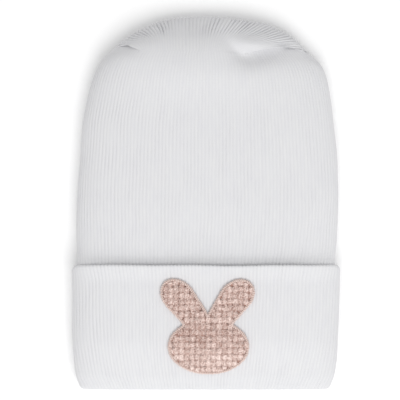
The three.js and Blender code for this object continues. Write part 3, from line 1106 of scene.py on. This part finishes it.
# Soft acrylic yarn of two loose plies: matt and a little fuzzy, with painted highlight on the top
# of each yarn and painted shade down in the gaps and where the plies meet. The plies turn once in
# 2.2 mm.
ply_turn = 2.2
yarn_material, tree = new_material("pink_two_ply_acrylic_yarn")
yarn_place = add_node(tree, "ShaderNodeUVMap", {"uv_map": "yarn"})
yarn_place = add_node(tree, "ShaderNodeSeparateXYZ", None, {0: yarn_place})
twist = {0: yarn_place.outputs["Y"], 1: 2 * math.pi / ply_turn, 2: yarn_place.outputs["X"]}
twist = add_node(tree, maths, {"operation": "MULTIPLY_ADD"}, twist)
wave = add_node(tree, maths, {"operation": "SINE"}, {0: twist})
ply = add_node(tree, maths, {"operation": "ABSOLUTE"}, {0: wave})
place = add_node(tree, "ShaderNodeTexCoord").outputs["Object"]
fibres = {"Vector": place, "Scale": 1 / (0.8 * mm), "Detail": 4.0, "Roughness": 0.7}
fibres = add_node(tree, "ShaderNodeTexNoise", None, fibres)
height = {0: fibres, 1: 1.2, 2: ply}
height = add_node(tree, maths, {"operation": "MULTIPLY_ADD"}, height)
bump = {"Strength": 0.8, "Distance": 0.25 * mm, "Height": height}
bump = add_node(tree, "ShaderNodeBump", None, bump)
tone = add_node(tree, "ShaderNodeAttribute", {"attribute_name": "tone"}).outputs["Fac"]
# Painted highlight: each yarn is paler on its top side and darker underneath.
painted_top_highlight = add_node(tree, maths, {"operation": "SINE"}, {0: yarn_place.outputs["X"]})
with_top_highlight = add_node(tree, maths, {"operation": "MULTIPLY_ADD"}, {0: painted_top_highlight, 1: 0.3, 2: tone})
# Painted shade: darker where the two plies meet, paler on each ply's crown.
with_ply_shade = add_node(tree, maths, {"operation": "MULTIPLY_ADD"}, {0: ply, 1: 0.2, 2: with_top_highlight})
by_fibre = add_node(tree, maths, {"operation": "MULTIPLY_ADD"}, {0: fibres, 1: 3.0, 2: with_ply_shade})
lightness = {0: by_fibre, 1: 1.85}
lightness = add_node(tree, maths, {"operation": "SUBTRACT", "use_clamp": True}, lightness)
pink = {"Factor": lightness, 6: linear("#B28D81"), 7: linear("#FDE9E1")}
pink = add_node(tree, "ShaderNodeMix", {"data_type": "RGBA"}, pink).outputs[2]
wool = {
    "Base Color": pink,
    "Roughness": 0.95,
    "Sheen Weight": 0.2,
    "Sheen Roughness": 0.6,
    "Specular IOR Level": 0.25,
    "Normal": bump,
}
shader = add_node(tree, "ShaderNodeBsdfPrincipled", None, wool)
add_node(tree, "ShaderNodeOutputMaterial", None, {"Surface": shader})
weave_piece = weave.finish("rabbit_weave", yarn_material)


def new_tree(name, sizes):
    """A Geometry Nodes tree with named sizes as its inputs, and their sockets."""
    tree = bpy.data.node_groups.new(name, "GeometryNodeTree")
    for way in ("INPUT", "OUTPUT"):
        tree.interface.new_socket("Geometry", in_out=way, socket_type="NodeSocketGeometry")
    sockets = {}
    for size in sizes:
        kind = "NodeSocketInt" if size == "Seed" else "NodeSocketFloat"
        socket = tree.interface.new_socket(size, in_out="INPUT", socket_type=kind)
        sockets[size] = socket.identifier
    return tree, sockets


def bow(tree, reach, rise, radius, steps, sides):
    """A bowed strand with closed ends, half on each side of its place."""
    half_reach = add_node(tree, maths, {"operation": "MULTIPLY"}, {0: reach, 1: 0.5})
    other_half = add_node(tree, maths, {"operation": "MULTIPLY"}, {0: reach, 1: -0.5})
    line = {
        "Start": add_node(tree, "ShaderNodeCombineXYZ", None, {"X": other_half}),
        "Middle": add_node(tree, "ShaderNodeCombineXYZ", None, {"Z": rise}),
        "End": add_node(tree, "ShaderNodeCombineXYZ", None, {"X": half_reach}),
        "Resolution": steps,
    }
    line = add_node(tree, "GeometryNodeCurveQuadraticBezier", None, line)
    strand = {"Resolution": sides, "Radius": radius}
    strand = add_node(tree, "GeometryNodeCurvePrimitiveCircle", None, strand)
    strand = {"Curve": line, "Profile Curve": strand, "Fill Caps": True}
    return add_node(tree, "GeometryNodeCurveToMesh", None, strand)


def turned_round(tree, rotation, angle):
    """A rotation with a turn round its own upright axis added to it."""
    turn = add_node(tree, "ShaderNodeCombineXYZ", None, {"Z": angle})
    turn = add_node(tree, "FunctionNodeEulerToRotation", None, {"Euler": turn})
    turn = {"Rotation": rotation, "Rotate By": turn}
    return add_node(tree, "FunctionNodeRotateRotation", {"rotation_space": "LOCAL"}, turn)


def end_tree(tree, grown, base, material):
    """What grows and what it grows on, made real and given their material."""
    together = add_node(tree, "GeometryNodeJoinGeometry")
    tree.links.new(grown.outputs[0], together.inputs[0])
    tree.links.new(base, together.inputs[0])
    real = add_node(tree, "GeometryNodeRealizeInstances", None, {"Geometry": together})
    dressed = {"Geometry": real, "Material": material}
    dressed = add_node(tree, "GeometryNodeSetMaterial", None, dressed)
    add_node(tree, "NodeGroupOutput", None, {"Geometry": dressed})


def run_tree(piece, tree, sockets, sizes):
    """The piece's mesh becomes the plain mesh that the tree makes of it."""
    modifier = piece.modifiers.new(tree.name, "NODES")
    modifier.node_group = tree
    for name, value in sizes.items():
        modifier[sockets[name]] = value
    ready = piece.evaluated_get(bpy.context.evaluated_depsgraph_get())
    made = bpy.data.meshes.new_from_object(ready)
    piece.modifiers.remove(modifier)
    piece.data = made
    made.name = piece.name


# Fuzz: short loose fibres that stand off the yarns in small bows, all over the weave.
fuzz_sizes = {
    "Fibres per square metre": 1.1e6,
    "Fibre reach": 1.5 * mm,
    "Fibre rise": 0.6 * mm,
    "Fibre radius": 0.1 * mm,
    "Least normal": 0.45,
    "Seed": 5,
}
fuzzing, sockets = new_tree("yarn_fuzz", fuzz_sizes)
given = add_node(fuzzing, "NodeGroupInput").outputs
facing = add_node(fuzzing, "GeometryNodeInputNormal")
facing = add_node(fuzzing, "ShaderNodeSeparateXYZ", None, {0: facing}).outputs["Z"]
on_top = {0: facing, 1: given["Least normal"]}
on_top = add_node(fuzzing, "FunctionNodeCompare", {"operation": "GREATER_THAN"}, on_top)
spots = {
    "Mesh": given["Geometry"],
    "Selection": on_top,
    "Density": given["Fibres per square metre"],
    "Seed": given["Seed"],
}
spots = add_node(fuzzing, "GeometryNodeDistributePointsOnFaces", None, spots)
fibre = bow(fuzzing, given["Fibre reach"], given["Fibre rise"], given["Fibre radius"], 4, 3)
chance = {"turn": (0.0, 2 * math.pi), "size": (0.6, 1.3), "tone": (-0.2, 1.3)}
for name, (least, most) in chance.items():
    limits = {"Min": least, "Max": most, "Seed": given["Seed"]}
    value = add_node(fuzzing, "FunctionNodeRandomValue", {"data_type": "FLOAT"}, limits)
    chance[name] = value.outputs["Value"]
laid = turned_round(fuzzing, spots.outputs["Rotation"], chance["turn"])
strands = {
    "Points": spots,
    "Instance": fibre,
    "Rotation": laid,
    "Scale": chance["size"],
}
strands = add_node(fuzzing, "GeometryNodeInstanceOnPoints", None, strands)
strands = {"Geometry": strands, "Name": "tone", "Value": chance["tone"]}
strands = add_node(fuzzing, "GeometryNodeStoreNamedAttribute", {"domain": "INSTANCE"}, strands)
end_tree(fuzzing, strands, given["Geometry"], yarn_material)
run_tree(weave_piece, fuzzing, sockets, fuzz_sizes)
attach(weave_piece, "root")
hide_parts("bunny_patch")

# Backing: a thin brushed cloth under the open weave, cut to the same rabbit, which keeps the
# yarns in place and shows rosy brown between them.
backing_inset = 0.9
backing_low = cloth_gap + 0.02
backing_high = cloth_gap + 0.42
backing_rings = 16
around = 300
backing_line = evenly(inset(rabbit_line, backing_inset), around)
backing_shares = np.linspace(1, 1 / backing_rings, backing_rings)
backing_flat = rabbit_eye + backing_shares[:, None, None] * (backing_line - rabbit_eye)
backing_flat = np.concatenate([backing_flat.reshape(-1, 2), rabbit_eye[None]])
backing_place = backing_flat + np.array([0, rim_place])
backing_points = []
for lift in (backing_low, backing_high):
    heights = cuff_front(backing_flat) + lift
    backing_points.append(np.column_stack([backing_place, heights]))
middle = backing_rings * around
underside = middle + 1
backing_faces = []
for k in range(around):
    n = (k + 1) % around
    backing_faces.append((k, n, underside + n, underside + k))
    for side in (0, underside):
        for row in range(backing_rings - 1):
            a, b = side + row * around, side + (row + 1) * around
            backing_faces.append((a + k, a + n, b + n, b + k))
        last = side + (backing_rings - 1) * around
        backing_faces.append((last + k, last + n, side + middle))
backing_mesh = bpy.data.meshes.new("rabbit_backing")
backing_mesh.from_pydata((np.concatenate(backing_points) * mm).tolist(), [], backing_faces)
face_outward(backing_mesh, 0)


def fibrous(name, fibres, colours, bump_strength, surface):
    """A matt material whose fibres, 0.15 mm high, break up its colour and its surface."""
    material, tree = new_material(name)
    place = add_node(tree, "ShaderNodeTexCoord").outputs["Object"]
    fibres = add_node(tree, "ShaderNodeTexNoise", None, {"Vector": place, **fibres})
    colour = {"Factor": fibres, 6: linear(colours[0]), 7: linear(colours[1])}
    colour = add_node(tree, "ShaderNodeMix", {"data_type": "RGBA"}, colour).outputs[2]
    bump = {"Strength": bump_strength, "Distance": 0.15 * mm, "Height": fibres}
    bump = add_node(tree, "ShaderNodeBump", None, bump)
    surface = {"Base Color": colour, "Normal": bump, **surface}
    shader = add_node(tree, "ShaderNodeBsdfPrincipled", None, surface)
    add_node(tree, "ShaderNodeOutputMaterial", None, {"Surface": shader})
    return material


# Brushed cotton flannel: matt, with short fibres that break up its colour.
nap = {"Scale": 1 / (0.4 * mm), "Detail": 3.0}
brushed = {
    "Roughness": 1.0,
    "Sheen Weight": 0.3,
    "Sheen Roughness": 0.5,
    "Specular IOR Level": 0.2,
}
flannel = fibrous("brushed_cotton_flannel", nap, ("#B58A7D", "#CFA799"), 0.6, brushed)
backing_mesh.materials.append(flannel)
backing = new_piece("rabbit_backing", backing_mesh)
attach(backing, "root")
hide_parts("bunny_patch")

# Border: paler pink yarn laid along the cut edge of the rabbit and whipped down all round
# with small slanting stitches, which cover the ends of the woven yarns.
border_points = 420
core_middle = cloth_gap + 0.6
border_line = evenly(inset(rabbit_line, border_width / 2), border_points)
border_flat = border_line + np.array([0, rim_place])
border_height = cuff_front(border_line) + core_middle
nudge = 0.5
slopes = [
    (cuff_front(border_line + step) - cuff_front(border_line - step)) / (2 * nudge)
    for step in (np.array([nudge, 0]), np.array([0, nudge]))
]
border_up = np.column_stack([-slopes[0], -slopes[1], np.ones(border_points)])
border_out = np.column_stack([square_to(border_line), np.zeros(border_points)])
border_mesh = bpy.data.meshes.new("rabbit_edge")
loop_edges = [(i, (i + 1) % border_points) for i in range(border_points)]
loop_points = np.column_stack([border_flat, border_height]) * mm
border_mesh.from_pydata(loop_points.tolist(), loop_edges, [])
for name, way in (("up", border_up), ("out", border_out)):
    layer = border_mesh.attributes.new(name, "FLOAT_VECTOR", "POINT")
    layer.data.foreach_set("vector", way.astype(np.float32).ravel())
border = new_piece("rabbit_edge", border_mesh)

# The same acrylic yarn in a paler pink: matt and fuzzy, with the fibres standing off it.
fibres = {"Scale": 1 / (0.9 * mm), "Detail": 4.0, "Roughness": 0.65}
soft = {
    "Roughness": 0.95,
    "Sheen Weight": 0.25,
    "Sheen Roughness": 0.6,
    "Specular IOR Level": 0.25,
}
edge_yarn = fibrous("pale_pink_acrylic_yarn", fibres, ("#C9A89C", "#FFF1EA"), 0.7, soft)
stitch_sizes = {
    "Stitch spacing": 0.92 * mm,
    "Stitch reach": 1.3 * mm,
    "Stitch rise": 1.6 * mm,
    "Thread radius": 0.32 * mm,
    "Core radius": 0.38 * mm,
    "Slant": math.radians(24),
    "Unevenness": 0.14,
    "Seed": 3,
}
whipping, sockets = new_tree("whipped_edge", stitch_sizes)
given = add_node(whipping, "NodeGroupInput").outputs
edge = add_node(whipping, "GeometryNodeMeshToCurve", None, {"Mesh": given["Geometry"]})
edge = add_node(whipping, "GeometryNodeSetCurveNormal", {"mode": "Z_UP"}, {"Curve": edge})
round_core = {"Resolution": 10, "Radius": given["Core radius"]}
round_core = add_node(whipping, "GeometryNodeCurvePrimitiveCircle", None, round_core)
core = {"Curve": edge, "Profile Curve": round_core}
core = add_node(whipping, "GeometryNodeCurveToMesh", None, core)
stitch = bow(whipping, given["Stitch reach"], given["Stitch rise"], given["Thread radius"], 5, 6)
spaced = {"Curve": edge, "Length": given["Stitch spacing"]}
spaced = add_node(whipping, "GeometryNodeCurveToPoints", {"mode": "LENGTH"}, spaced)
vector = {"data_type": "FLOAT_VECTOR"}
up = add_node(whipping, "GeometryNodeInputNamedAttribute", vector, {"Name": "up"})
out = add_node(whipping, "GeometryNodeInputNamedAttribute", vector, {"Name": "out"})
upright = {"Vector": up}
upright = add_node(whipping, "FunctionNodeAlignRotationToVector", {"axis": "Z"}, upright)
outward = {"axis": "X", "pivot_axis": "Z"}
facing = {"Rotation": upright, "Vector": out}
facing = add_node(whipping, "FunctionNodeAlignRotationToVector", outward, facing)
less = add_node(whipping, maths, {"operation": "SUBTRACT"}, {0: 1.0, 1: given["Unevenness"]})
more = add_node(whipping, maths, {"operation": "ADD"}, {0: 1.0, 1: given["Unevenness"]})
factor = {"Min": less, "Max": more, "Seed": given["Seed"]}
factor = add_node(whipping, "FunctionNodeRandomValue", {"data_type": "FLOAT"}, factor)
factor = factor.outputs["Value"]
slant = add_node(whipping, maths, {"operation": "MULTIPLY"}, {0: given["Slant"], 1: factor})
slanted = turned_round(whipping, facing, slant)
stitches = {"Points": spaced, "Instance": stitch, "Rotation": slanted, "Scale": factor}
stitches = add_node(whipping, "GeometryNodeInstanceOnPoints", None, stitches)
end_tree(whipping, stitches, core.outputs[0], edge_yarn)
run_tree(border, whipping, sockets, stitch_sizes)
face_outward(border.data, 4)
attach(border, "root")
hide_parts("patch_border")
